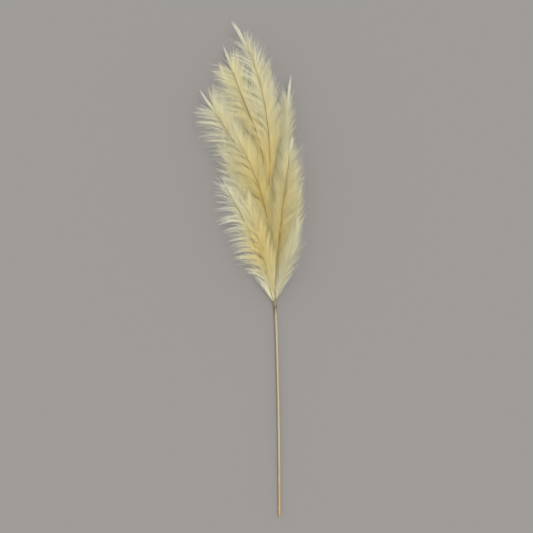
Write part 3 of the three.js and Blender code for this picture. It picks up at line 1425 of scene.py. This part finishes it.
@dataclass
class Stem:
    """The culm and the rachis that it grows into: ribbed straw with a knot at the neck and a cut end.

    fibre_depth: how far the ridges stand out, as a share of the radius; the ridge_ fields say how many
        run round the stem and how they wander.
    knot_below: how far below the neck the knot is; it swells over knot_reach, with a thin ring on it.
    scar_depth, scar_swing, scar_heading: how dark the knot's scars are, and how that changes round it.
    rachis_shade, rachis_blend: how brown the rachis is inside the plume, and over what length it turns.
    tan_reach: how far up from the cut end the straw is tanned.
    cut_reach, cut_depth: the cut end's rings from its middle out, as shares of the radius, and how far
        each is sunk.
    neck_y: where the plume starts along Y.
    """

    line: Line
    finish: CulmFinish = field(default_factory=CulmFinish)
    sides: int = 32
    ring_step: float = 2.2 * MM
    fibre_depth: float = 0.035
    ridge_seed: int = 11
    ridge_waves: tuple[int, ...] = (5, 8, 13)
    ridge_wander: float = 0.012
    ridge_turn: float = 6.28
    knot_swell: float = 0.16
    knot_reach: float = 13 * MM
    knot_below: float = 6 * MM
    knot_ring: float = 0.5
    knot_ring_reach: float = 2 * MM
    scar_depth: float = 0.85
    scar_swing: float = 0.4
    scar_heading: float = 1.2
    rachis_shade: float = 0.8
    tan_reach: float = 150 * MM
    rachis_blend: float = 60 * MM
    cut_reach: tuple[float, ...] = (0.25, 0.6, 0.78, 0.96)
    cut_depth: tuple[float, ...] = (0.9 * MM, 0.6 * MM, 0.05 * MM, 0.0)
    neck_y: float = 0.0

    def build(self) -> bpy.types.Object:
        """Builds and dresses the stem.

        Returns:
            The stem.
        """
        count = round(self.line.length / self.ring_step)
        share = np.linspace(0.0, 1.0, count)
        path = self.line.at(share)
        angle = np.arange(self.sides) / self.sides * 2 * math.pi
        knot = self._knot(path)
        radius = self.line.radius(share)[:, None] * (1 + self.knot_swell * knot[:, None])
        rings = radius * (1 + self.fibre_depth * self._ridges(count, angle))
        around = self.scar_depth + self.scar_swing * np.cos(angle[None] + self.scar_heading)
        inside = smooth_step(path[:, 1], self.neck_y, self.neck_y + self.rachis_blend)[:, None]
        scar = np.maximum(np.clip(knot[:, None] * around, 0, 1), self.rachis_shade * inside)
        # Painted light and shade round the stem: 1 on its right side, as if lit from there, and 0 on its
        # left.
        bleach = np.broadcast_to(0.5 + 0.5 * np.sin(angle), (count, self.sides))
        tan = 1 - smooth_step(path[:, 1] - path[0, 1], 0.0, self.tan_reach)[:, None]
        tan = np.repeat(tan, self.sides, axis=1)
        headings = unit(np.gradient(path, axis=0))
        cut = len(self.cut_depth)
        path = np.vstack([path[:1] + headings[:1] * np.array(self.cut_depth)[:, None], path])
        rings = np.vstack([rings[:1] * np.array(self.cut_reach)[:, None], rings])
        headings = np.vstack([np.repeat(headings[:1], cut, axis=0), headings])
        numbers = {
            "scar": np.vstack([np.zeros((cut, self.sides)), scar]),
            "bleach": np.vstack([np.ones((cut, self.sides)), bleach]),
            "tan": np.vstack([np.ones((cut, self.sides)), tan]),
            "pith": np.vstack([np.ones((cut - 1, self.sides)), np.zeros((count + 1, self.sides))]),
        }
        shape = tube(path, rings, numbers, headings)
        return place(shape.to_object("culm_and_rachis", self.finish.material()), "straw_stem", "stem")

    def _ridges(self, count: int, angle: np.ndarray) -> np.ndarray:
        """Makes shallow ridges and furrows that run along the stem and wander a little.

        Args:
            count: How many rings the stem has.
            angle: Where each ring's points are round it.

        Returns:
            How far each point stands out, (rings, points).
        """
        rng = np.random.default_rng(self.ridge_seed)
        ridges = np.zeros((count, self.sides))
        for waves in self.ridge_waves:
            drift = np.cumsum(rng.normal(0, self.ridge_wander, count))
            turn = rng.random() * self.ridge_turn
            ridges += np.cos(waves * angle[None] + turn + drift[:, None]) / waves
        return ridges

    def _knot(self, path: np.ndarray) -> np.ndarray:
        """Finds how strongly each ring belongs to the knot at the neck.

        Args:
            path: The rings' middles.

        Returns:
            A number for each ring: 0 away from the knot, 1 on it, and more on its thin ring.
        """
        gap = np.abs(path[:, 1] - self.neck_y + self.knot_below)
        ring = np.exp(-((gap / self.knot_ring_reach) ** 2))
        return np.exp(-((gap / self.knot_reach) ** 2)) + self.knot_ring * ring


@dataclass
class Stalk:
    """One branch's thin stalk, from inside the rachis to its end, with small knobs where locks grow.

    name: the frame node that it stands for.
    knob, knob_pitch, knob_turn: how far knobs stand out, how far apart they are, and where they start.
    root_below: how far below its foot the stalk leaves the rachis's middle.
    root_flare, flare_reach: how much thicker it is there, and over what length.
    """

    name: str
    line: Line
    rachis: Line
    finish: bpy.types.Material
    sides: int = 10
    ring_step: float = 1.6 * MM
    knob: float = 0.22
    knob_pitch: float = 8.0 * MM
    knob_turn: float = 6.0
    unevenness: float = 0.03
    root_below: float = 12 * MM
    root_flare: float = 0.3
    flare_reach: float = 6 * MM
    rachis_steps: int = 600

    def build(self, rng: np.random.Generator) -> bpy.types.Object:
        """Builds the stalk and dresses it.

        Args:
            rng: Source of its small unevenness.

        Returns:
            The stalk.
        """
        joined = self._joined()
        count = round(joined.length / self.ring_step)
        share = np.linspace(0.0, 1.0, count)
        reach = share * joined.length
        beat = np.cos(reach / self.knob_pitch * 2 * math.pi + rng.random() * self.knob_turn)
        radius = joined.radius(share) * (1 + self.knob * np.maximum(beat, 0) ** 4)
        radius *= 1 + self.root_flare * np.exp(-reach / self.flare_reach)
        rings = radius[:, None] * (1 + rng.normal(0, self.unevenness, (count, self.sides)))
        shape = tube(joined.at(share), rings)
        made = shape.to_object(self.name.replace("rib", "stalk"), self.finish)
        return place(made, "branch_stalk", self.name)

    def _joined(self) -> Line:
        """Starts the stalk's line inside the rachis, a little below its foot.

        Returns:
            The longer line.
        """
        foot = self.line.centres[0]
        below = self.rachis.at(np.linspace(0, 1, self.rachis_steps))
        nearest = below[np.abs(below[:, 1] - foot[1] + self.root_below).argmin()]
        centres = np.vstack([nearest, self.line.centres])
        return Line(centres, np.append(self.line.radii[0], self.line.radii))


@dataclass
class Plume:
    """Every branch of the plume: its stalk and the hairs along it, and the hairs on the rachis's end.

    low_branch: branches that leave the rachis within this of the neck count as low ones.
    first_low, first_high: where the hairs of low and of other branches start, as a share of the stalk.
    laid_pieces: how many pieces the hairs laid along the rachis are made in.
    tip_below: how far below its upper hairs the rachis's own fringe starts.
    """

    frame: dict[str, Any]
    rachis: Line
    room: Room
    seed: int = 118
    low_branch: float = 60 * MM
    first_low: float = 0.02
    first_high: float = 0.08
    laid_pieces: int = 2
    laid_seed: int = 90
    tip_seed: int = 100
    tip_below: float = 30 * MM

    def build(self) -> None:
        """Builds all branches in order, then the rachis's own hairs."""
        stalk_finish = StalkFinish().material()
        hair_finish = HairFinish().material()
        neck = self.neck_y()
        names = sorted(n for n in self.frame["nodes"] if n.startswith("branch_rib_"))
        for number, name in enumerate(names):
            rng = np.random.default_rng(self.seed + number)
            line = Line.of_node(self.frame["nodes"][name])
            Stalk(name, line, self.rachis, stalk_finish).build(rng)
            low = line.centres[0][1] - neck < self.low_branch
            first = self.first_low if low else self.first_high
            habit = HABITS.get(name[-2:], INNER)
            fringe = Fringe(line, habit, self.room, self.rachis, first)
            shape = fringe.grow(rng).shape(rng)
            node = name.replace("rib", "fringe")
            place(shape.to_object(node.replace("fringe", "hairs"), hair_finish), "silky_hair", node)
        self.build_tip(hair_finish)

    def neck_y(self) -> float:
        """Where the plume starts along Y: where the lowest branch leaves the stem."""
        return min(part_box(n)[0].y for n in self.frame["nodes"] if n.startswith("branch_rib_"))

    def build_tip(self, finish: bpy.types.Material) -> None:
        """Builds the hairs on the rachis: laid close below, and a fringe of its own at its upper end.

        Args:
            finish: The hairs' material.
        """
        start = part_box("tip_fringe")[0].y
        ends = np.linspace(self.neck_y(), start, self.laid_pieces + 1)
        for number, (low, high) in enumerate(zip(ends[:-1], ends[1:])):
            rng = np.random.default_rng(self.seed + self.laid_seed + number)
            fringe = Fringe(self.section(low, high), LAID, self.room, self.rachis, 0.0)
            shape = fringe.grow(rng).shape(rng)
            place(shape.to_object(f"rachis_hairs_{number + 1}", finish), "silky_hair")
        rng = np.random.default_rng(self.seed + self.tip_seed)
        upper = self.section(start - self.tip_below, math.inf)
        fringe = Fringe(upper, HABITS["tip"], self.room, self.rachis, self.first_low)
        shape = fringe.grow(rng).shape(rng)
        place(shape.to_object("tip_hairs", finish), "silky_hair", "tip_fringe")

    def section(self, low: float, high: float) -> Line:
        """The part of the rachis between two places along Y."""
        kept = (self.rachis.centres[:, 1] > low) & (self.rachis.centres[:, 1] < high)
        return Line(self.rachis.centres[kept], self.rachis.radii[kept])


# ---------------------------------------------------------------------------------------------- studio


@dataclass
class Studio:
    """Pale floor, soft light and a camera straight above, with the plume's tip at the top of its view.

    floor_z: the height that the part rests on.
    width_shown: how much of the floor the camera sees from side to side.
    aim_right, aim_along, aim_height: the place that it looks down on.
    """

    floor_z: float
    width_shown: float = 1.182
    aim_right: float = 36.4 * MM
    aim_along: float = 5.2 * MM
    aim_height: float = 22 * MM
    lens: float = 100.0
    sensor: float = 36.0
    far_clip: float = 100.0
    floor_size: float = 14.0
    world: Colour = (1.0, 1.0, 1.0)
    world_strength: float = 1.2
    sun_strength: float = 4.15
    sun_angle: float = 28.0
    sun_height: float = 3.0
    sun_heading: tuple[float, float, float] = (-0.08, -0.05, -1.0)

    def build(self) -> None:
        """Sets the floor, the light and the camera."""
        self.set_camera()
        self.set_floor()
        self.set_world()
        self.set_sun()

    def set_camera(self) -> None:
        """Looks straight down from far off through a long lens."""
        data = bpy.data.cameras.new("camera")
        data.lens = self.lens
        data.sensor_width = self.sensor
        data.clip_end = self.far_clip
        camera = bpy.data.objects.new("camera", data)
        camera.location = (
            self.aim_right,
            self.aim_along,
            self.aim_height + self.width_shown * self.lens / self.sensor,
        )
        bpy.context.scene.collection.objects.link(camera)
        bpy.context.scene.camera = camera

    def set_floor(self) -> None:
        """Lays the floor under the part."""
        half = self.floor_size / 2
        mesh = bpy.data.meshes.new("floor")
        corners = [(-half, -half, 0.0), (half, -half, 0.0), (half, half, 0.0), (-half, half, 0.0)]
        mesh.from_pydata(corners, [], [(0, 1, 2, 3)])
        mesh.materials.append(FloorFinish().material())
        floor = bpy.data.objects.new("floor", mesh)
        floor.location.z = self.floor_z
        bpy.context.scene.collection.objects.link(floor)
        floor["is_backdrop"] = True

    def set_world(self) -> None:
        """Surrounds everything with an even pale light."""
        world = bpy.data.worlds.new("studio")
        world.use_nodes = True
        background = world.node_tree.nodes["Background"]
        background.inputs["Color"].default_value = (*self.world, 1.0)
        background.inputs["Strength"].default_value = self.world_strength
        bpy.context.scene.world = world
        bpy.context.scene.view_settings.view_transform = "Standard"

    def set_sun(self) -> None:
        """Lights everything evenly from above, with soft shadows."""
        data = bpy.data.lights.new("soft_key", "SUN")
        data.energy = self.sun_strength
        data.angle = math.radians(self.sun_angle)
        sun = bpy.data.objects.new("soft_key", data)
        sun.location = (0.0, 0.0, self.sun_height)
        sun.rotation_euler = Vector(self.sun_heading).to_track_quat("-Z", "Y").to_euler()
        bpy.context.scene.collection.objects.link(sun)


def main() -> None:
    """Builds the pieces in order and reports each."""
    logging.basicConfig(level=logging.INFO, format="%(name)s: %(message)s")
    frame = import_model()
    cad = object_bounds()
    Studio(cad[0].z).build()
    stem_line = Line.of_node(frame["nodes"]["stem"])
    plume = Plume(frame, stem_line, Room.around(*cad))
    Stem(stem_line, neck_y=plume.neck_y()).build()
    plume.build()


if __name__ == "__main__":
    main()
